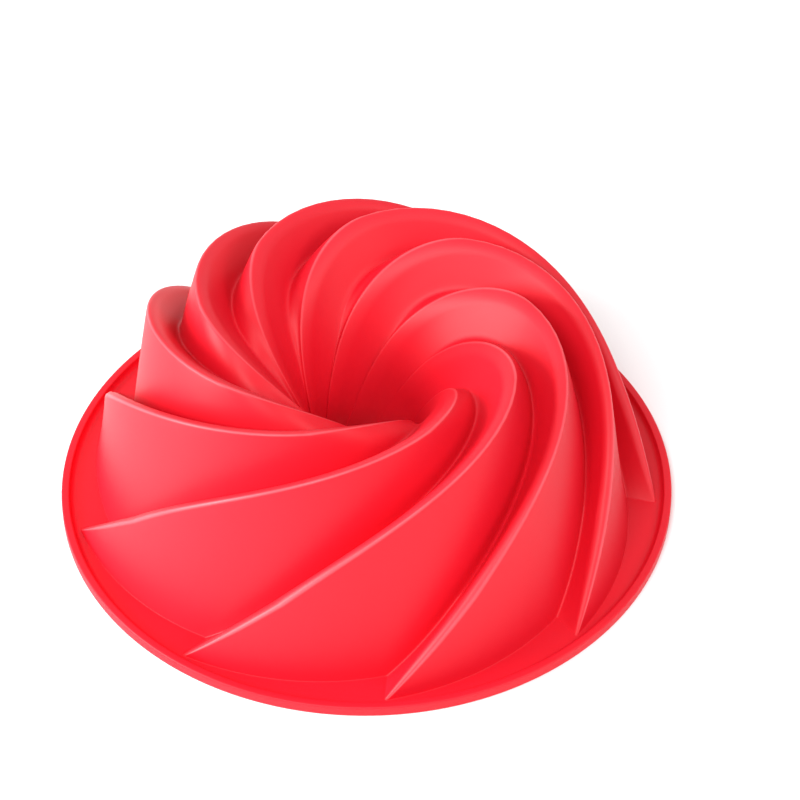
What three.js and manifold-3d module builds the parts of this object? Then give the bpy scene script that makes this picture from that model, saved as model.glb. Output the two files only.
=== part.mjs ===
import * as THREE from 'three';
import { LoftGeometry } from 'three/addons/geometries/LoftGeometry.js';
import { mergeVertices } from 'three/addons/utils/BufferGeometryUtils.js';
import Module from 'manifold-3d';

// Silicone bundt pan, dome up on its rim. Millimetres, +Z up.
// Origin at the centre of the rim plane; one flute tip points along +X.

const FLUTES = 9;
const PITCH = 360 / FLUTES;
const WALL = 1.8;

// Rim: flat flange with a low upstanding lip.
const RIM_RADIUS = 127.5;
const LIP_HEIGHT = 4.9;
const LIP_TOP_WIDTH = 3.3;
const LIP_INNER_FILLET = 2.2;
const LIP_EDGE_ROUND = 0.5;
const LIP_FILLET_STEPS = 4;

// The two lines that carry the swirl. Each runs from the flange, over the crown and down the tube.
// Radius and height in millimetres, travel in degrees counter-clockwise from the flute's tip.
// reachOut and reachIn set how far the line stays level on either side of the crown, and
// crownSwirl is its travel per millimetre of radius there.
const CREST = {
  foot: { radius: 121.2, travel: 0, height: WALL },
  wall: { radius: 107, travel: 15.5, height: 40 },
  crown: { radius: 69, travel: 92.5, height: 93.2 },
  reachOut: 34.5,
  reachIn: 10.5,
  crownSwirl: 1.76,
  tube: { radius: 18.5, travel: 150, height: 72.5 },
  end: { radius: 18, travel: 212, height: 3 },
};
const VALLEY = {
  foot: { radius: 108.5, travel: 41, height: WALL },
  wall: { radius: 97.5, travel: 59, height: 26 },
  crown: { radius: 59, travel: 123.5, height: 73.5 },
  reachOut: 28.5,
  reachIn: 26.5,
  crownSwirl: 1.55,
  tube: { radius: 20, travel: 154, height: 38 },
  end: { radius: 18, travel: 228, height: 3 },
};
const WALL_STEPS = 8;
const FUNNEL_STEPS = 7;
const FACE_STEPS = 5;

// The crest line is where face and riser would meet. A land cuts it off at a distance along each,
// and the valley is rounded. Both start small at the foot and are full size from CORNER_GROWTH on.
const CREST_LAND_TIP = 0.8;
const CREST_LAND = 6.5;
const LAND_BULGE = 0.15;
const VALLEY_ROUND_FOOT = 1.0;
const VALLEY_ROUND = 3.6;
const CORNER_GROWTH = 0.3;
const MOUTH_ROUND = 0.8;
const MIN_INNER_LAND = 0.5;
const MAX_CORNER_SHARE = 0.42;

// Steel ring inside the lip, and the locating holes left under it by the mould's pins.
const WIRE_RADIUS = 0.8;
const WIRE_GAP = 0.3;
const WIRE_RING_RADIUS = 125.3;
const WIRE_HEIGHT = 2.4;
const WIRE_SIDES = 8;
const WIRE_STEPS = 72;
const PIN_HOLE_RADIUS = 0.7;
const PIN_HOLE_SIDES = 10;
const PIN_HOLE_ANGLE = 5;

const PROBE = 0.01;

const radians = (degrees) => THREE.MathUtils.degToRad(degrees);

// Cylindrical points are Vector3(radius, travel, height).
const cylindrical = ({ radius, travel, height }) => new THREE.Vector3(radius, travel, height);

function toSpace(point) {
  const angle = radians(point.y);
  return new THREE.Vector3(point.x * Math.cos(angle), point.x * Math.sin(angle), point.z);
}

function toCylindrical(point, nearTravel) {
  const travel = THREE.MathUtils.radToDeg(Math.atan2(point.y, point.x));
  const turns = Math.round((nearTravel - travel) / 360);
  return new THREE.Vector3(Math.hypot(point.x, point.y), travel + 360 * turns, point.z);
}

const turned = (point, travel) => new THREE.Vector3(point.x, point.y + travel, point.z);

const between = (a, b, share) => new THREE.Vector3().lerpVectors(a, b, share);

// A guide is two Bezier curves that meet level at the crown.
function guide(line) {
  const crown = cylindrical(line.crown);
  const outward = new THREE.Vector3(line.reachOut, -line.reachOut * line.crownSwirl, 0);
  const inward = new THREE.Vector3(-line.reachIn, line.reachIn * line.crownSwirl, 0);
  const outer = new THREE.CubicBezierCurve3(
    cylindrical(line.foot),
    cylindrical(line.wall),
    crown.clone().add(outward),
    crown,
  );
  const inner = new THREE.CubicBezierCurve3(
    crown,
    crown.clone().add(inward),
    cylindrical(line.tube),
    cylindrical(line.end),
  );
  return (station) => (station <= 1 ? outer.getPoint(station) : inner.getPoint(station - 1));
}

const crestAt = guide(CREST);
const valleyAt = guide(VALLEY);

// Each flute has a wide face, from its crest to its valley, and a riser up to the next crest.
const face = (station, share) => between(crestAt(station), valleyAt(station), share);
const riser = (station, share) => between(valleyAt(station), turned(crestAt(station), PITCH), share);

function outwardNormal(strip, station, share) {
  const across = share < 0.5 ? PROBE : -PROBE;
  const along = station < 1 ? PROBE : -PROBE;
  const here = toSpace(strip(station, share));
  const side = toSpace(strip(station, share + across)).sub(here).divideScalar(across);
  const up = toSpace(strip(station + along, share)).sub(here).divideScalar(along);
  return side.cross(up).normalize();
}

// The cavity side of a corner lies one wall thickness below both of the faces that meet there.
function insetCorner(corner, normalA, normalB) {
  const lean = normalA.clone().add(normalB).multiplyScalar(WALL / (1 + normalA.dot(normalB)));
  const inset = toCylindrical(toSpace(corner).sub(lean), corner.y);
  inset.z = Math.max(0, inset.z);
  return inset;
}

function outerCorners(station) {
  const widening = Math.min(1, station / CORNER_GROWTH);
  return {
    crest: crestAt(station),
    valley: valleyAt(station),
    crestLand: THREE.MathUtils.lerp(CREST_LAND_TIP, CREST_LAND, widening),
    valleyRound: THREE.MathUtils.lerp(VALLEY_ROUND_FOOT, VALLEY_ROUND, widening),
  };
}

function innerCorners(station) {
  const outer = outerCorners(station);
  const lastRiser = outwardNormal(riser, station, 1).applyAxisAngle(new THREE.Vector3(0, 0, 1), radians(-PITCH));
  const crest = insetCorner(outer.crest, outwardNormal(face, station, 0), lastRiser);
  const valleyNormals = [outwardNormal(face, station, 1), outwardNormal(riser, station, 0)];
  return {
    crest,
    valley: insetCorner(outer.valley, ...valleyNormals),
    crestLand: Math.max(MIN_INNER_LAND, outer.crestLand - WALL),
    valleyRound: outer.valleyRound + WALL,
  };
}

function reach(corner, side, distance) {
  const length = toSpace(corner).distanceTo(toSpace(side));
  return between(corner, side, Math.min(MAX_CORNER_SHARE, distance / length));
}

// One flute's share of a section, from the middle of its crest's land to just before the next one.
function fluteSection({ crest, valley, crestLand, valleyRound }) {
  const nextCrest = turned(crest, PITCH);
  const faceStart = reach(crest, valley, crestLand);
  const faceEnd = reach(valley, crest, valleyRound);
  const riserStart = reach(valley, nextCrest, valleyRound);
  const riserEnd = reach(nextCrest, valley, crestLand);
  const landMiddle = between(between(turned(riserEnd, -PITCH), faceStart, 1 / 2), crest, LAND_BULGE);
  const valleyMiddle = between(between(faceEnd, riserStart, 1 / 2), valley, 1 / 2);
  const section = [landMiddle];
  for (let step = 0; step <= FACE_STEPS; step += 1) {
    section.push(between(faceStart, faceEnd, step / FACE_STEPS));
  }
  section.push(valleyMiddle, riserStart, between(riserStart, riserEnd, 1 / 2), riserEnd);
  return section;
}

function ring(flutePoints) {
  const points = [];
  for (let flute = 0; flute < FLUTES; flute += 1) {
    flutePoints.forEach((point) => points.push(toSpace(turned(point, flute * PITCH))));
  }
  return points;
}

// Rim rings carry as many points as a flute, spaced midway between evenly and as along its foot.
function rimTravels() {
  const foot = fluteSection(outerCorners(0));
  foot.push(turned(foot[0], PITCH));
  const lengths = [0];
  for (let i = 1; i < foot.length; i += 1) {
    lengths.push(lengths[i - 1] + toSpace(foot[i]).distanceTo(toSpace(foot[i - 1])));
  }
  const steps = lengths.length - 1;
  return lengths.slice(0, -1).map((length, i) => (PITCH / 2) * (length / lengths.at(-1) + i / steps));
}

function rimRing(radius, height) {
  return ring(rimTravels().map((travel) => new THREE.Vector3(radius, travel, height)));
}

function lipProfile() {
  const topInner = RIM_RADIUS - LIP_TOP_WIDTH;
  const points = [
    [RIM_RADIUS - LIP_EDGE_ROUND, 0],
    [RIM_RADIUS, LIP_EDGE_ROUND],
    [RIM_RADIUS, LIP_HEIGHT - LIP_EDGE_ROUND],
    [RIM_RADIUS - LIP_EDGE_ROUND, LIP_HEIGHT],
    [topInner, LIP_HEIGHT],
  ];
  for (let step = 1; step <= LIP_FILLET_STEPS; step += 1) {
    const angle = radians((90 * step) / LIP_FILLET_STEPS);
    points.push([
      topInner - LIP_INNER_FILLET * (1 - Math.cos(angle)),
      WALL + (LIP_HEIGHT - WALL) * (1 - Math.sin(angle)),
    ]);
  }
  return points;
}

function mouthSection() {
  const mouth = fluteSection(innerCorners(0));
  return mouth.map((point) => new THREE.Vector3(point.x + MOUTH_ROUND, point.y, 0));
}

function skinStations() {
  const stations = [];
  for (let step = 0; step < WALL_STEPS; step += 1) {
    stations.push(step / WALL_STEPS);
  }
  for (let step = 0; step <= FUNNEL_STEPS; step += 1) {
    stations.push(1 + step / FUNNEL_STEPS);
  }
  return stations;
}

// The moulding is one skin: round the lip, across the flange, over the flutes to the end of the
// tube, and back along the cavity side to the mouth.
function mouldingGeometry() {
  const stations = skinStations();
  const sections = lipProfile().map(([radius, height]) => rimRing(radius, height));
  stations.forEach((station) => sections.push(ring(fluteSection(outerCorners(station)))));
  stations.toReversed().forEach((station) => sections.push(ring(fluteSection(innerCorners(station)))));
  sections.push(ring(mouthSection()));
  sections.push(sections[0]);
  return new LoftGeometry(sections);
}

function wireGeometry(radius) {
  const torus = new THREE.TorusGeometry(WIRE_RING_RADIUS, radius, WIRE_SIDES, WIRE_STEPS);
  return torus.translate(0, 0, WIRE_HEIGHT);
}

function pinHoleGeometry(index) {
  const depth = 2 * WIRE_HEIGHT;
  const hole = new THREE.CylinderGeometry(PIN_HOLE_RADIUS, PIN_HOLE_RADIUS, depth, PIN_HOLE_SIDES);
  hole.rotateX(Math.PI / 2);
  hole.translate(WIRE_RING_RADIUS, 0, 0);
  return hole.rotateZ(radians(PIN_HOLE_ANGLE + index * PITCH));
}

const wasm = await Module();
wasm.setup();

function solid(geometry) {
  geometry.deleteAttribute('normal');
  geometry.deleteAttribute('uv');
  const merged = mergeVertices(new THREE.BufferGeometry().copy(geometry));
  return new wasm.Manifold(new wasm.Mesh({
    numProp: 3,
    vertProperties: new Float32Array(merged.attributes.position.array),
    triVerts: new Uint32Array(merged.index.array),
  }));
}

function geometryOf(body) {
  const { vertProperties, triVerts } = body.getMesh();
  const geometry = new THREE.BufferGeometry();
  geometry.setAttribute('position', new THREE.BufferAttribute(vertProperties, 3));
  geometry.setIndex(new THREE.BufferAttribute(triVerts, 1));
  geometry.computeVertexNormals();
  return geometry;
}

function panMoulding() {
  let body = solid(mouldingGeometry()).subtract(solid(wireGeometry(WIRE_RADIUS + WIRE_GAP)));
  for (let index = 0; index < FLUTES; index += 1) {
    body = body.subtract(solid(pinHoleGeometry(index)));
  }
  return geometryOf(body);
}

function part(name, geometry, material) {
  const mesh = new THREE.Mesh(geometry, material);
  mesh.name = name;
  return mesh;
}

const silicone = () => new THREE.MeshStandardMaterial({ color: 0xe0202f, roughness: 0.5, metalness: 0 });
const steel = () => new THREE.MeshStandardMaterial({ color: 0xb9bcc0, roughness: 0.35, metalness: 1 });

const pan = new THREE.Group();
pan.name = 'bundt_pan';
pan.add(part('pan_moulding', panMoulding(), silicone()));
pan.add(part('rim_wire', wireGeometry(WIRE_RADIUS), steel()));

export default pan;
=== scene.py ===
import math

import bpy
from mathutils import Matrix, Vector


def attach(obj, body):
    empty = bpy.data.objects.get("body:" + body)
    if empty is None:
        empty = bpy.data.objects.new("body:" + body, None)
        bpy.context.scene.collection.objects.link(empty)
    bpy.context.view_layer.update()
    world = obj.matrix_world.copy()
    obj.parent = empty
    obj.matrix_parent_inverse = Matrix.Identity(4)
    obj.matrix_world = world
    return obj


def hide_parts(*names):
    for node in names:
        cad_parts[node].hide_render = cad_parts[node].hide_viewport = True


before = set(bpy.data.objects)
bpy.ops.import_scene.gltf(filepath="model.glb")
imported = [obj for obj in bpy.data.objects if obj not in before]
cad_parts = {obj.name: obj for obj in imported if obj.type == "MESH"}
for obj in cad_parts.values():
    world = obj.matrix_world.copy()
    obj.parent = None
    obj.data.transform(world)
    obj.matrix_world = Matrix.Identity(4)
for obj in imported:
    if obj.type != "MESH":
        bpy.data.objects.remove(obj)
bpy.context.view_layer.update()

MM = 0.001

# ---------------------------------------------------------------- sizes of the pan, in metres

FLUTES = 9
PITCH = 360.0 / FLUTES
WALL = 1.8 * MM
RIM_RADIUS = 127.35 * MM
LIP_HEIGHT = 4.9 * MM
LIP_TOP_WIDTH = 3.3 * MM
LIP_INNER_FILLET = 2.2 * MM
LIP_EDGE_ROUND = 0.6 * MM
FOOT_FILLET = 0.2 * MM
MOUTH_ROUND = 1.6 * MM
TUBE_END = 3.0 * MM

# A swirl line's stations are (radius, travel in degrees, height).
CREST = {
    "Foot": (121.2 * MM, 0.0, WALL),
    "Wall": (107 * MM, 15.5, 40 * MM),
    "Crown": (69 * MM, 92.5, 93 * MM),
    "Reach Out": 34.5 * MM,
    "Reach In": 10.5 * MM,
    "Crown Swirl": 1760.0,
    "Tube": (18.5 * MM, 150.0, 72.5 * MM),
    "End": (18 * MM, 212.0, TUBE_END),
}
VALLEY = {
    "Foot": (108.5 * MM, 41.0, WALL),
    "Wall": (97.5 * MM, 59.0, 26 * MM),
    "Crown": (59 * MM, 123.5, 73.5 * MM),
    "Reach Out": 28.5 * MM,
    "Reach In": 26.5 * MM,
    "Crown Swirl": 1550.0,
    "Tube": (20 * MM, 154.0, 38 * MM),
    "End": (18 * MM, 228.0, TUBE_END),
}

# Each crest is cut off to a narrow land with a small round along both of its edges.
CREST_LAND_TIP = 0.8 * MM
CREST_LAND = 6.5 * MM
CORNER_GROWTH = 0.3
CREST_EDGE_ROUND = 1.8 * MM
LAND_BULGE = 0.15
LAND_EDGE_SHARE = 0.45
VALLEY_ROUND_FOOT = 1.0 * MM
VALLEY_ROUND = 3.6 * MM
MIN_INNER_LAND = 0.5 * MM
MAX_ROUND_SHARE = 0.42

# The steel ring's channel inside the lip, and the locating holes left under it by the mould's pins.
WIRE_RING_RADIUS = 125.3 * MM
WIRE_HEIGHT = 2.4 * MM
WIRE_CHANNEL_RADIUS = 1.1 * MM
PIN_HOLE_RADIUS = 0.7 * MM
PIN_HOLE_ANGLE = 5.0
CHANNEL_STEPS = 144
CHANNEL_SIDES = 16
PIN_HOLE_SIDES = 24
SHARP_ANGLE = math.radians(50.0)

# Mesh steps across one flute and along the skin.
LAND_STEPS = 1
EDGE_STEPS = 4
CREST_STEPS = LAND_STEPS + EDGE_STEPS
FACE_STEPS = 16
VALLEY_STEPS = 5
RISER_STEPS = 7
SKIN_STEPS = 88
FILLET_STEPS = 4
FLOOR_STEPS = 8
LIP_ARC_STEPS = 8
EDGE_ARC_STEPS = 4
FLAT_STEPS = 3
COLUMNS = 2 * CREST_STEPS + FACE_STEPS + VALLEY_STEPS + RISER_STEPS
WELD = 0.004 * MM

# How far along the swirl the foot fillet and the rounded mouth reach, and how strongly rows gather there.
FILLET_STATION = 0.003
MOUTH_STATION = 0.016
END_EASE = 0.8

# The outer edge of every crest, and its land more faintly, carries a painted highlight: the silicone is
# painted paler there. Stations are along the swirl, with 1 at the crown.
CREST_HIGHLIGHT = "painted_crest_highlight"
LAND_HIGHLIGHT_SHARE = 0.12
EDGE_NARROWING = 1.25
EDGE_FADE_START = 1.2
EDGE_FADE_END = 1.8


# ---------------------------------------------------------------- camera

CAMERA_TURN = math.radians(6.21)
CAMERA_ELEVATION = math.radians(43.3)
CAMERA_ROLL = math.radians(-0.15)
CAMERA_DISTANCE = 1.1763
CAMERA_TARGET = Vector((0.01381, 0.05075, 0.0))
SENSOR_WIDTH = 36.0
FOCAL_LENGTH = 122.08


def add_camera():
    back = Vector((0.0, -math.cos(CAMERA_ELEVATION), math.sin(CAMERA_ELEVATION)))
    right = Vector((1.0, 0.0, 0.0))
    up = back.cross(right)
    cos_roll, sin_roll = math.cos(CAMERA_ROLL), math.sin(CAMERA_ROLL)
    rolled_right = right * cos_roll - up * sin_roll
    rolled_up = right * sin_roll + up * cos_roll
    axes = Matrix((rolled_right, rolled_up, back)).transposed().to_4x4()
    turn = Matrix.Rotation(CAMERA_TURN, 4, "Z")
    place = Matrix.Translation(CAMERA_TARGET + back * CAMERA_DISTANCE)
    data = bpy.data.cameras.new("camera")
    data.sensor_width = SENSOR_WIDTH
    data.lens = FOCAL_LENGTH
    camera = bpy.data.objects.new("camera", data)
    bpy.context.scene.collection.objects.link(camera)
    camera.matrix_world = turn @ place @ axes
    bpy.context.scene.camera = camera


add_camera()


# ---------------------------------------------------------------- node trees from expressions

class Flow:
    """A node socket that Python arithmetic works on, as a number or as a vector."""

    def __init__(self, net, socket, vector=False):
        self.net, self.socket, self.vector = net, socket, vector

    def _pair(self, operation, first, second):
        vector = any(isinstance(side, Flow) and side.vector for side in (first, second))
        return self.net.maths(operation, first, second, vector=vector)

    def __add__(self, other):
        return self._pair("ADD", self, other)

    def __radd__(self, other):
        return self._pair("ADD", other, self)

    def __sub__(self, other):
        return self._pair("SUBTRACT", self, other)

    def __rsub__(self, other):
        return self._pair("SUBTRACT", other, self)

    def __mul__(self, other):
        if self.vector and not (isinstance(other, Flow) and other.vector):
            return self.net.scaled(self, other)
        if isinstance(other, Flow) and other.vector and not self.vector:
            return self.net.scaled(other, self)
        return self._pair("MULTIPLY", self, other)

    __rmul__ = __mul__

    def __truediv__(self, other):
        return self._pair("DIVIDE", self, other)

    def __rtruediv__(self, other):
        return self._pair("DIVIDE", other, self)

    def __neg__(self):
        return self * -1.0

    def __pow__(self, power):
        return self._pair("POWER", self, power)


class Net:
    """Adds nodes to a tree, and turns their outputs into Flow values."""

    def __init__(self, tree):
        self.tree = tree

    def node(self, kind, settings=None, values=None):
        made = self.tree.nodes.new(kind)
        for name, setting in (settings or {}).items():
            setattr(made, name, setting)
        for key, value in (values or {}).items():
            socket = made.inputs[key]
            if isinstance(value, Flow):
                self.tree.links.new(value.socket, socket)
            elif isinstance(value, bpy.types.NodeSocket):
                self.tree.links.new(value, socket)
            else:
                socket.default_value = value
        return made

    def out(self, node, key=0, vector=False):
        return Flow(self, node.outputs[key], vector)

    def maths(self, operation, *values, vector=False, clamp=False):
        kind = "ShaderNodeVectorMath" if vector else "ShaderNodeMath"
        settings = {"operation": operation}
        if clamp:
            settings["use_clamp"] = True
        made = self.node(kind, settings, dict(enumerate(values)))
        return self.out(made, 0, vector)

    def scaled(self, vector, factor):
        made = self.node("ShaderNodeVectorMath", {"operation": "SCALE"}, {0: vector, "Scale": factor})
        return self.out(made, 0, True)

    def measure(self, operation, *vectors):
        made = self.node("ShaderNodeVectorMath", {"operation": operation}, dict(enumerate(vectors)))
        return self.out(made, "Value")

    def unit(self, vector):
        return self.maths("NORMALIZE", vector, vector=True)

    def cross(self, first, second):
        return self.maths("CROSS_PRODUCT", first, second, vector=True)

    def least(self, first, second):
        return self.maths("MINIMUM", first, second)

    def most(self, first, second):
        return self.maths("MAXIMUM", first, second)

    def clamped(self, value):
        return self.maths("ADD", value, 0.0, clamp=True)

    def sine(self, value):
        return self.maths("SINE", value)

    def cosine(self, value):
        return self.maths("COSINE", value)

    def join(self, x, y, z):
        return self.out(self.node("ShaderNodeCombineXYZ", None, {0: x, 1: y, 2: z}), 0, True)

    def split(self, vector):
        made = self.node("ShaderNodeSeparateXYZ", None, {0: vector})
        return [self.out(made, i) for i in range(3)]


SOCKETS = {"number": "NodeSocketFloat", "vector": "NodeSocketVector", "count": "NodeSocketInt",
           "mesh": "NodeSocketGeometry", "material": "NodeSocketMaterial"}


def new_tree(name, inputs, outputs):
    """A Geometry Nodes tree with the sockets asked for. Returns it, its Net and its inputs as Flows."""
    tree = bpy.data.node_groups.new(name, "GeometryNodeTree")
    for label, kind in inputs.items():
        tree.interface.new_socket(label, in_out="INPUT", socket_type=SOCKETS[kind])
    for label, kind in outputs.items():
        tree.interface.new_socket(label, in_out="OUTPUT", socket_type=SOCKETS[kind])
    net = Net(tree)
    entry = net.node("NodeGroupInput")
    given = {label: net.out(entry, label, kind == "vector") for label, kind in inputs.items()}
    return tree, net, given


def close_tree(net, results):
    net.node("NodeGroupOutput", None, results)


def use(net, tree, values, vectors=()):
    """Puts one tree inside another, and returns its outputs as Flows."""
    made = net.node("GeometryNodeGroup", {"node_tree": tree}, values)
    return {s.name: net.out(made, s.name, s.name in vectors) for s in made.outputs}


# ---------------------------------------------------------------- the swirl lines

GUIDE_KINDS = {"Foot": "vector", "Wall": "vector", "Crown": "vector", "Reach Out": "number",
               "Reach In": "number", "Crown Swirl": "number", "Tube": "vector", "End": "vector"}
GUIDE_INPUTS = {f"{line} {name}": kind for line in ("Crest", "Valley") for name, kind in GUIDE_KINDS.items()}


def bezier(a, b, c, d, t):
    s = 1.0 - t
    return a * (s * s * s) + b * (3.0 * (s * s * t)) + c * (3.0 * (s * t * t)) + d * (t * t * t)


def bezier_slope(a, b, c, d, t):
    s = 1.0 - t
    return (b - a) * (3.0 * (s * s)) + (c - b) * (6.0 * (s * t)) + (d - c) * (3.0 * (t * t))


def rounded(before, corner, after, t):
    """A curve from before to after that rounds off the corner between them."""
    s = 1.0 - t
    return before * (s * s) + corner * (2.0 * (s * t)) + after * (t * t)


def eased(share, ease):
    """Rows drawn together towards both ends of a panel."""
    return share * (1.0 - ease) + share * share * (3.0 - share * 2.0) * ease


def guide_tree():
    """A swirl line: two Bezier curves that meet level at the crown, at station 1."""
    inputs = {"Station": "number", **GUIDE_KINDS}
    tree, net, given = new_tree("swirl line", inputs, {"Place": "vector", "Slope": "vector"})
    outer = net.least(given["Station"], 1.0)
    inner = net.most(given["Station"] - 1.0, 0.0)
    level_out = net.join(given["Reach Out"], -(given["Reach Out"] * given["Crown Swirl"]), 0.0)
    level_in = net.join(given["Reach In"], -(given["Reach In"] * given["Crown Swirl"]), 0.0)
    crown = given["Crown"]
    wall_side = (given["Foot"], given["Wall"], crown + level_out, crown)
    tube_side = (crown, crown - level_in, given["Tube"], given["End"])
    place = bezier(*wall_side, outer) + bezier(*tube_side, inner) - crown
    past = net.maths("GREATER_THAN", given["Station"], 1.0)
    slope = bezier_slope(*wall_side, outer) * (1.0 - past) + bezier_slope(*tube_side, inner) * past
    close_tree(net, {"Place": place, "Slope": slope})
    return tree


def space_tree():
    """Turns a place given as radius, travel and height into a point in space."""
    tree, net, given = new_tree("place to point", {"Place": "vector"}, {"Point": "vector"})
    radius, travel, height = net.split(given["Place"])
    angle = travel * math.radians(1.0)
    close_tree(net, {"Point": net.join(radius * net.cosine(angle), radius * net.sine(angle), height)})
    return tree


SWIRL_LINE = guide_tree()
PLACE_TO_POINT = space_tree()


def in_space(net, place):
    return use(net, PLACE_TO_POINT, {"Place": place}, ["Point"])["Point"]


def local(net, step, radius):
    """A step in radius, travel and height as lengths outward, around and up at that radius."""
    out, travel, up = net.split(step)
    return net.join(out, radius * travel * math.radians(1.0), up)


CORNERS = {"Crest": "vector", "Valley": "vector", "Crest Land": "number", "Valley Round": "number",
           "Face Out": "vector", "Riser Out": "vector"}


def corners_tree():
    """The crest and valley of one flute at a station, on the outside or one wall thickness below it."""
    inputs = {"Station": "number", "Inset": "number", "Tip Land": "number", "Crest Land": "number",
              "Valley Foot Round": "number", "Valley Round": "number"}
    inputs.update(GUIDE_INPUTS)
    tree, net, given = new_tree("flute corners", inputs, CORNERS)
    pitch = net.join(0.0, PITCH, 0.0)
    lines = {}
    for line in ("Crest", "Valley"):
        values = {name: given[f"{line} {name}"] for name in GUIDE_KINDS}
        lines[line] = use(net, SWIRL_LINE, {"Station": given["Station"], **values}, ["Place", "Slope"])
    crest, valley = lines["Crest"]["Place"], lines["Valley"]["Place"]
    face_step, riser_step = valley - crest, crest + pitch - valley

    def normals(line):
        place, slope = lines[line]["Place"], lines[line]["Slope"]
        radius = net.split(place)[0]
        up = local(net, slope, radius)
        return [net.unit(net.cross(local(net, step, radius), up)) for step in (face_step, riser_step)]

    def inset(place, face_out, riser_out):
        spread = 1.0 + net.measure("DOT_PRODUCT", face_out, riser_out)
        lean = (face_out + riser_out) * (given["Inset"] / spread)
        lean_out, lean_around, lean_up = net.split(lean)
        radius, travel, height = net.split(place)
        out = radius - lean_out
        new_radius = (out * out + lean_around * lean_around) ** 0.5
        turn = net.maths("ARCTAN2", -lean_around, out) * math.degrees(1.0)
        return net.join(new_radius, travel + turn, height - lean_up)

    crest_out, valley_out = normals("Crest"), normals("Valley")
    growth = net.clamped(given["Station"] / CORNER_GROWTH)
    outer_land = given["Tip Land"] + (given["Crest Land"] - given["Tip Land"]) * growth
    foot_round = given["Valley Foot Round"]
    outer_round = foot_round + (given["Valley Round"] - foot_round) * growth
    close_tree(net, {
        "Crest": inset(crest, *crest_out),
        "Valley": inset(valley, *valley_out),
        "Crest Land": net.most(outer_land - given["Inset"], MIN_INNER_LAND),
        "Valley Round": outer_round + given["Inset"],
        "Face Out": crest_out[0],
        "Riser Out": valley_out[1],
    })
    return tree


FLUTE_CORNERS = corners_tree()


def section_tree():
    """A point of one flute's section. Column runs from the middle of its crest to the next one."""
    inputs = {"Column": "number", **CORNERS}
    outputs = {"Place": "vector", "Outward": "vector", "Travel": "number", "Edge": "number"}
    tree, net, given = new_tree("flute section", inputs, outputs)
    column, crest, valley = given["Column"], given["Crest"], given["Valley"]
    pitch = net.join(0.0, PITCH, 0.0)
    next_crest = crest + pitch
    crest_point, valley_point = in_space(net, crest), in_space(net, valley)
    face_length = net.measure("DISTANCE", crest_point, valley_point)
    riser_length = net.measure("DISTANCE", valley_point, in_space(net, next_crest))

    def share(distance, length):
        return net.least(distance / length, MAX_ROUND_SHARE)

    edge = net.least(given["Crest Land"] * LAND_EDGE_SHARE, CREST_EDGE_ROUND)
    land_on_face = share(given["Crest Land"], face_length)
    land_on_riser = share(given["Crest Land"], riser_length)
    edge_on_face = share(given["Crest Land"] + edge, face_length)
    edge_on_riser = share(given["Crest Land"] + edge, riser_length)
    valley_on_face = share(given["Valley Round"], face_length)
    valley_on_riser = share(given["Valley Round"], riser_length)

    riser_edge = crest + (valley - pitch - crest) * land_on_riser
    face_edge = crest + (valley - crest) * land_on_face
    land_middle = crest * LAND_BULGE + (riser_edge + face_edge) * ((1.0 - LAND_BULGE) / 2.0)
    land_end = face_edge + (land_middle - face_edge) * LAND_EDGE_SHARE
    face_start = crest + (valley - crest) * edge_on_face
    face_end = valley + (crest - valley) * valley_on_face
    riser_start = valley + (next_crest - valley) * valley_on_riser
    riser_end = next_crest + (valley - next_crest) * edge_on_riser
    next_edge, next_middle = riser_edge + pitch, land_middle + pitch
    next_land = next_edge + (next_middle - next_edge) * LAND_EDGE_SHARE

    def stretch(first, steps):
        return net.clamped((column - float(first)) / float(steps))

    marks = [0]
    for steps in (LAND_STEPS, EDGE_STEPS, FACE_STEPS, VALLEY_STEPS, RISER_STEPS, EDGE_STEPS, LAND_STEPS):
        marks.append(marks[-1] + steps)
    over_land, over_edge, over_face, over_valley, over_riser, next_turn, to_next = [
        stretch(a, b - a) for a, b in zip(marks, marks[1:])]
    place = (land_middle + (land_end - land_middle) * over_land
             + rounded(land_end, face_edge, face_start, over_edge) - land_end
             + (face_end - face_start) * over_face
             + rounded(face_end, valley, riser_start, over_valley) - face_end
             + (riser_end - riser_start) * over_riser
             + rounded(riser_end, next_edge, next_land, next_turn) - riser_end
             + (next_middle - next_land) * to_next)

    over_crest = (over_land * float(LAND_STEPS) + over_edge * float(EDGE_STEPS)) / float(CREST_STEPS)
    to_next = (next_turn * float(EDGE_STEPS) + to_next * float(LAND_STEPS)) / float(CREST_STEPS)
    lean = over_valley + (1.0 - over_crest) * 0.5 - to_next * 0.5
    face_flat = given["Face Out"] * net.join(1.0, 1.0, 0.0)
    riser_flat = given["Riser Out"] * net.join(1.0, 1.0, 0.0)
    outward = net.unit(net.unit(face_flat) * (1.0 - lean) + net.unit(riser_flat) * lean)

    passed = face_length * over_face + riser_length * over_riser
    by_length = passed / (face_length + riser_length)
    travel = (by_length + column / float(COLUMNS)) * (PITCH / 2.0)
    # Edge is the strength of the painted highlight: strongest across the round on the face side of the
    # crest, and faint over the land.
    on_edge = (over_edge * (1.0 - over_edge) * 4.0) ** EDGE_NARROWING * (1.0 - LAND_HIGHLIGHT_SHARE)
    on_land = (1.0 - over_edge) * LAND_HIGHLIGHT_SHARE + next_turn * LAND_HIGHLIGHT_SHARE
    close_tree(net, {"Place": place, "Outward": outward, "Travel": travel, "Edge": on_edge + on_land})
    return tree


FLUTE_SECTION = section_tree()


# ---------------------------------------------------------------- the moulding

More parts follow.
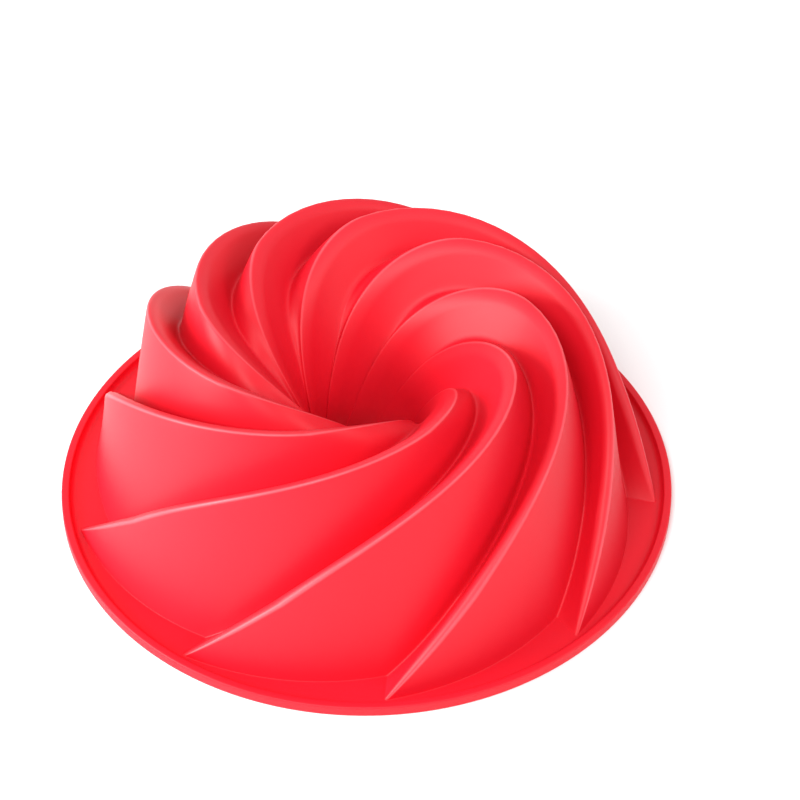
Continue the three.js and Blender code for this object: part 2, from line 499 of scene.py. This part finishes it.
# Flat lengths and arcs of the lip, from the flange floor over the lip to its underside.
LIP_PATH = [
    ("arc", LIP_ARC_STEPS, (LIP_INNER_FILLET, LIP_HEIGHT - WALL - LIP_EDGE_ROUND), -90.0, 0.0),
    ("arc", EDGE_ARC_STEPS, (LIP_EDGE_ROUND, LIP_EDGE_ROUND), 180.0, 90.0),
    ("line", FLAT_STEPS, (LIP_TOP_WIDTH - 2 * LIP_EDGE_ROUND, 0.0)),
    ("arc", EDGE_ARC_STEPS, (LIP_EDGE_ROUND, LIP_EDGE_ROUND), 90.0, 0.0),
    ("line", FLAT_STEPS, (0.0, 2 * LIP_EDGE_ROUND - LIP_HEIGHT)),
    ("arc", EDGE_ARC_STEPS, (LIP_EDGE_ROUND, LIP_EDGE_ROUND), 0.0, -90.0),
]
LIP_ROWS = sum(steps for _, steps, *_ in LIP_PATH)
FLOOR_RADIUS = RIM_RADIUS - LIP_TOP_WIDTH - LIP_INNER_FILLET


def lip_place(net, row):
    """Radius and height at a row of the lip."""
    radius, height, first = FLOOR_RADIUS, WALL, 0
    for kind, steps, size, *angles in LIP_PATH:
        share = net.clamped((row - float(first)) / float(steps))
        if kind == "line":
            radius, height = share * size[0] + radius, share * size[1] + height
        else:
            start, end = (math.radians(angle) for angle in angles)
            angle = share * (end - start) + start
            radius = (net.cosine(angle) - math.cos(start)) * size[0] + radius
            height = (net.sine(angle) - math.sin(start)) * size[1] + height
        first += steps
    return radius, height


def ring_cutter(net):
    """The steel ring's channel and the pin holes that reach down from it, as bodies to cut away."""
    path = net.node("GeometryNodeCurvePrimitiveCircle", None, {
        "Resolution": CHANNEL_STEPS, "Radius": WIRE_RING_RADIUS})
    profile = net.node("GeometryNodeCurvePrimitiveCircle", None, {
        "Resolution": CHANNEL_SIDES, "Radius": WIRE_CHANNEL_RADIUS})
    ring = net.node("GeometryNodeCurveToMesh", None, {
        "Curve": path.outputs[0], "Profile Curve": profile.outputs[0]})
    channel = net.node("GeometryNodeTransform", None, {
        "Geometry": ring.outputs[0], "Translation": (0.0, 0.0, WIRE_HEIGHT)})
    pin = net.node("GeometryNodeMeshCylinder", None, {
        "Vertices": PIN_HOLE_SIDES, "Radius": PIN_HOLE_RADIUS, "Depth": 2 * WIRE_HEIGHT})
    placed = net.node("GeometryNodeTransform", None, {
        "Geometry": pin.outputs[0], "Translation": (WIRE_RING_RADIUS, 0.0, 0.0)})
    return channel.outputs[0], placed.outputs[0]


def moulding_tree():
    inputs = {"Flutes": "count", "Wall": "number", "Tip Land": "number", "Crest Land": "number",
              "Valley Foot Round": "number", "Valley Round": "number", **GUIDE_INPUTS,
              "Silicone": "material"}
    tree, net, given = new_tree("swirl moulding", inputs, {"Moulding": "mesh"})

    def flute(column, station, inset):
        names = ["Tip Land", "Crest Land", "Valley Foot Round", "Valley Round", *GUIDE_INPUTS]
        values = {name: given[name] for name in names}
        corners = use(net, FLUTE_CORNERS, {"Station": station, "Inset": inset, **values},
                      ["Crest", "Valley", "Face Out", "Riser Out"])
        return use(net, FLUTE_SECTION, {"Column": column, **corners}, ["Place", "Outward"])

    def panel(rows, place_of, backward=False, edge_of=None):
        """A grid of one flute's columns and the given rows, moved to the places worked out for it."""
        grid = net.node("GeometryNodeMeshGrid", None, {"Vertices X": COLUMNS + 1, "Vertices Y": rows + 1})
        index = net.out(net.node("GeometryNodeInputIndex"))
        column = net.maths("FLOOR", (index + 0.5) / float(rows + 1))
        row = index - column * float(rows + 1)
        if backward:
            row = float(rows) - row
        mesh = grid.outputs["Mesh"]
        if edge_of:
            marked = net.node("GeometryNodeStoreNamedAttribute", {"data_type": "FLOAT", "domain": "POINT"}, {
                "Geometry": mesh, "Name": CREST_HIGHLIGHT, "Value": edge_of(column, row)})
            mesh = marked.outputs["Geometry"]
        moved = net.node("GeometryNodeSetPosition", None, {
            "Geometry": mesh, "Position": in_space(net, place_of(column, row))})
        return moved.outputs["Geometry"]

    def outer_station(row):
        return eased(row * (1.0 / SKIN_STEPS), END_EASE) * (2.0 - FILLET_STATION) + FILLET_STATION

    def outer_skin(column, row):
        return flute(column, outer_station(row), 0.0)["Place"]

    # Painted highlight strength along the crests, fading out down the tube.
    def painted_crest_highlight(column, row):
        station = outer_station(row)
        fade = net.clamped((EDGE_FADE_END - station) / (EDGE_FADE_END - EDGE_FADE_START))
        return flute(column, station, 0.0)["Edge"] * fade

    def inner_skin(column, row):
        station = row * (-(2.0 - MOUTH_STATION) / SKIN_STEPS) + 2.0
        return flute(column, station, given["Wall"])["Place"]

    def beside(section, distance):
        """A place moved level and square off the foot's outline."""
        out, around, _ = net.split(section["Outward"])
        radius = net.split(section["Place"])[0]
        step = net.join(out, around / radius * math.degrees(1.0), 0.0)
        return section["Place"] + step * distance

    def floor_ring(column):
        travel = flute(column, 0.0, 0.0)["Travel"]
        return net.join(FLOOR_RADIUS, travel, WALL)

    def floor(column, row):
        foot = flute(column, 0.0, 0.0)
        above = flute(column, FILLET_STATION, 0.0)["Place"]
        off = beside(foot, FOOT_FILLET)
        curve = rounded(above, foot["Place"], off, net.clamped(row / float(FILLET_STEPS)))
        share = eased(net.clamped((row - float(FILLET_STEPS)) / float(FLOOR_STEPS)), 1.0)
        return curve + (floor_ring(column) - off) * share

    def lip(column, row):
        travel = flute(column, 0.0, 0.0)["Travel"]
        radius, height = lip_place(net, row)
        return net.join(radius, travel, height)

    def mouth_corner(column):
        section = flute(column, 0.0, given["Wall"])
        section["Place"] = section["Place"] * net.join(1.0, 1.0, 0.0)
        return section

    def underside(column, row):
        corner = mouth_corner(column)
        off = beside(corner, MOUTH_ROUND)
        travel = flute(column, 0.0, 0.0)["Travel"]
        rim = net.join(RIM_RADIUS - LIP_EDGE_ROUND, travel, 0.0)
        share = net.clamped(row / float(FLOOR_STEPS))
        above = flute(column, MOUTH_STATION, given["Wall"])["Place"]
        turn = net.clamped((row - float(FLOOR_STEPS)) / float(FILLET_STEPS))
        curve = rounded(off, corner["Place"], above, turn)
        return rim + (off - rim) * share + curve - off

    def tube_end(column, row):
        outer = flute(column, 2.0, 0.0)["Place"]
        inner = flute(column, 2.0, given["Wall"])["Place"]
        half_turn = row * (math.pi / EDGE_ARC_STEPS)
        share = 0.5 - net.cosine(half_turn) * 0.5
        drop = net.join(0.0, 0.0, net.sine(half_turn) * (-WALL / 2.0))
        return outer + (inner - outer) * share + drop

    panels = [
        panel(FILLET_STEPS + FLOOR_STEPS, floor, backward=True),
        panel(SKIN_STEPS, outer_skin, edge_of=painted_crest_highlight),
        panel(EDGE_ARC_STEPS, tube_end),
        panel(SKIN_STEPS, inner_skin),
        panel(FILLET_STEPS + FLOOR_STEPS, underside, backward=True),
        panel(LIP_ROWS, lip, backward=True),
    ]
    joined = net.node("GeometryNodeJoinGeometry")
    for mesh in panels:
        tree.links.new(mesh, joined.inputs[0])
    spots = net.node("GeometryNodePoints", None, {"Count": given["Flutes"]})
    index = net.out(net.node("GeometryNodeInputIndex"))
    turn = net.join(0.0, 0.0, index * math.radians(PITCH))
    copies = net.node("GeometryNodeInstanceOnPoints", None, {
        "Points": spots.outputs[0], "Instance": joined.outputs[0], "Rotation": turn})
    real = net.node("GeometryNodeRealizeInstances", None, {0: copies.outputs[0]})
    welded = net.node("GeometryNodeMergeByDistance", None, {"Geometry": real.outputs[0], "Distance": WELD})
    channel, pin = ring_cutter(net)
    pin_turn = net.join(0.0, 0.0, index * math.radians(PITCH) + math.radians(PIN_HOLE_ANGLE))
    pins = net.node("GeometryNodeInstanceOnPoints", None, {
        "Points": spots.outputs[0], "Instance": pin, "Rotation": pin_turn})
    real_pins = net.node("GeometryNodeRealizeInstances", None, {0: pins.outputs[0]})
    cut = net.node("GeometryNodeMeshBoolean", {"operation": "DIFFERENCE", "solver": "MANIFOLD"}, {
        "Mesh 1": welded.outputs[0]})
    for body in (channel, real_pins.outputs[0]):
        tree.links.new(body, cut.inputs["Mesh 2"])
    smooth = net.node("GeometryNodeSetShadeSmooth", None, {"Geometry": cut.outputs[0], "Shade Smooth": True})
    bend = net.out(net.node("GeometryNodeInputMeshEdgeAngle"), "Unsigned Angle")
    crisp = net.node("GeometryNodeSetShadeSmooth", {"domain": "EDGE"}, {
        "Geometry": smooth.outputs[0], "Selection": net.maths("GREATER_THAN", bend, SHARP_ANGLE),
        "Shade Smooth": False})
    finished = net.node("GeometryNodeSetMaterial", None, {
        "Geometry": crisp.outputs[0], "Material": given["Silicone"]})
    close_tree(net, {"Moulding": finished.outputs[0]})
    return tree


def grow(name, tree, settings):
    """Runs a Geometry Nodes tree with its named sizes and keeps the result as a plain mesh."""
    carrier = bpy.data.objects.new(name + "_carrier", bpy.data.meshes.new(name + "_carrier"))
    bpy.context.scene.collection.objects.link(carrier)
    modifier = carrier.modifiers.new("shape", "NODES")
    modifier.node_group = tree
    identifiers = {item.name: item.identifier for item in tree.interface.items_tree
                   if getattr(item, "in_out", "") == "INPUT"}
    for label, value in settings.items():
        modifier[identifiers[label]] = value
    evaluated = carrier.evaluated_get(bpy.context.evaluated_depsgraph_get())
    mesh = bpy.data.meshes.new_from_object(evaluated)
    carrier.modifiers.remove(modifier)
    bpy.data.objects.remove(carrier)
    while mesh.materials[0] is None:
        mesh.materials.pop(index=0)
    mesh.name = name
    made = bpy.data.objects.new(name, mesh)
    bpy.context.scene.collection.objects.link(made)
    return made


# ---------------------------------------------------------------- materials

def new_material(name, settings):
    """A Principled material. Values that are the same all over sit on the shader's own sockets."""
    material = bpy.data.materials.new(name)
    material.use_nodes = True
    net = Net(material.node_tree)
    shader = next(n for n in material.node_tree.nodes if n.type == "BSDF_PRINCIPLED")
    for key, value in settings.items():
        shader.inputs[key].default_value = value
    place = net.out(net.node("ShaderNodeTexCoord"), "Object", True)
    return material, net, shader, place


def link(net, flow, shader, key):
    net.tree.links.new(flow.socket, shader.inputs[key])


def noise(net, place, scale, detail=2.0, roughness=0.5):
    made = net.node("ShaderNodeTexNoise", None, {
        "Vector": place, "Scale": scale, "Detail": detail, "Roughness": roughness})
    return net.out(made, 0)


def mixed_colour(net, factor, first, second):
    made = net.node("ShaderNodeMix", {"data_type": "RGBA"}, {0: factor, 6: first, 7: second})
    return Flow(net, made.outputs[2], True)


SILICONE_DARKER = (0.62, 0.005, 0.016, 1.0)
SILICONE_LIGHTER = (0.67, 0.006, 0.019, 1.0)
# The pale pink of the painted crest highlight.
SILICONE_HIGHLIGHT_PAINT = (0.74, 0.09, 0.11, 1.0)
STEEL_DARKER = (0.50, 0.51, 0.53, 1.0)
STEEL_LIGHTER = (0.66, 0.67, 0.69, 1.0)
STREAK_STRETCH = 40.0


def red_silicone():
    material, net, shader, place = new_material("red silicone", {
        "IOR": 1.41,
        "Subsurface Weight": 0.08,
        "Subsurface Radius": (1.0, 0.18, 0.12),
        "Subsurface Scale": 0.002,
        "Specular IOR Level": 0.38,
    })
    cloud = noise(net, place, 18.0, 3.0)
    colour = mixed_colour(net, cloud, SILICONE_DARKER, SILICONE_LIGHTER)
    # Painted highlight: the crest attribute mixes the colour towards pale pink along each crest's face-side
    # edge, and faintly over its land, with a little noise. It also lowers roughness there.
    painted_highlight = net.out(net.node("ShaderNodeAttribute", {"attribute_name": CREST_HIGHLIGHT}), "Fac")
    painted_highlight = painted_highlight * (noise(net, place, 60.0, 2.0) * 0.4 + 0.6)
    colour = mixed_colour(net, net.clamped(painted_highlight), colour, SILICONE_HIGHLIGHT_PAINT)
    link(net, colour, shader, "Base Color")
    fine = noise(net, place, 900.0, 2.0)
    link(net, cloud * 0.06 + fine * 0.04 - painted_highlight * 0.08 + 0.42, shader, "Roughness")
    grain = noise(net, place, 2600.0, 1.0)
    bump = net.node("ShaderNodeBump", None, {"Height": grain, "Strength": 0.10, "Distance": 0.00006})
    link(net, net.out(bump, 0, True), shader, "Normal")
    return material


def drawn_steel():
    material, net, shader, place = new_material("drawn steel", {"Metallic": 1.0})
    streak = noise(net, place * net.join(1.0, 1.0, STREAK_STRETCH), 220.0, 3.0)
    colour = mixed_colour(net, streak, STEEL_DARKER, STEEL_LIGHTER)
    link(net, colour, shader, "Base Color")
    link(net, streak * 0.15 + 0.25, shader, "Roughness")
    return material


SILICONE = red_silicone()
STEEL = drawn_steel()


# ---------------------------------------------------------------- the pan

def guide_settings():
    values = {f"Crest {name}": value for name, value in CREST.items()}
    values.update({f"Valley {name}": value for name, value in VALLEY.items()})
    return values


moulding = grow("swirl_moulding", moulding_tree(), {
    "Flutes": FLUTES, "Wall": WALL, "Tip Land": CREST_LAND_TIP, "Crest Land": CREST_LAND,
    "Valley Foot Round": VALLEY_ROUND_FOOT, "Valley Round": VALLEY_ROUND, **guide_settings(),
    "Silicone": SILICONE,
})
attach(moulding, "root")
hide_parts("pan_moulding")

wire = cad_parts["rim_wire"]
wire.data.materials.clear()
wire.data.materials.append(STEEL)


# ---------------------------------------------------------------- floor and light

FLOOR_HALF = 3.0
FLOOR_DARKER = (0.90, 0.90, 0.90, 1.0)
FLOOR_LIGHTER = (0.92, 0.92, 0.92, 1.0)
WORLD_STRENGTH = 0.85
LIT_POINT = Vector((0.0, 0.0, 0.04))

# Each softbox's name, azimuth, elevation, distance, size and power. Azimuth 0 is behind the
# camera, and 90 is to its left.
SOFTBOXES = [
    ("left softbox", 74.0, 16.0, 1.2, 0.8, 24.0),
    ("front softbox", 20.0, 48.0, 1.4, 0.5, 10.0),
    ("right softbox", -60.0, 38.0, 1.4, 0.5, 5.0),
]


def add_floor():
    mesh = bpy.data.meshes.new("floor")
    half = FLOOR_HALF
    corners = [(-half, -half, 0.0), (half, -half, 0.0), (half, half, 0.0), (-half, half, 0.0)]
    mesh.from_pydata(corners, [], [(0, 1, 2, 3)])
    floor = bpy.data.objects.new("floor", mesh)
    bpy.context.scene.collection.objects.link(floor)
    material, net, shader, place = new_material("pale floor", {"Roughness": 0.9})
    shade = mixed_colour(net, noise(net, place, 3.0), FLOOR_DARKER, FLOOR_LIGHTER)
    link(net, shade, shader, "Base Color")
    mesh.materials.append(material)


def add_softbox(name, azimuth, elevation, distance, size, power):
    """A soft light that faces the pan."""
    turn = CAMERA_TURN - math.radians(90.0 + azimuth)
    rise = math.radians(elevation)
    level = math.cos(rise)
    away = Vector((level * math.cos(turn), level * math.sin(turn), math.sin(rise)))
    data = bpy.data.lights.new(name, "AREA")
    data.shape = "DISK"
    data.size = size
    data.energy = power
    light = bpy.data.objects.new(name, data)
    bpy.context.scene.collection.objects.link(light)
    light.location = LIT_POINT + away * distance
    light.rotation_euler = away.to_track_quat("Z", "Y").to_euler()


def add_world():
    world = bpy.data.worlds.new("studio")
    world.use_nodes = True
    background = next(n for n in world.node_tree.nodes if n.type == "BACKGROUND")
    background.inputs["Color"].default_value = (1.0, 1.0, 1.0, 1.0)
    background.inputs["Strength"].default_value = WORLD_STRENGTH
    bpy.context.scene.world = world


add_floor()
add_world()
for softbox in SOFTBOXES:
    add_softbox(*softbox)
bpy.context.scene.view_settings.view_transform = "Standard"
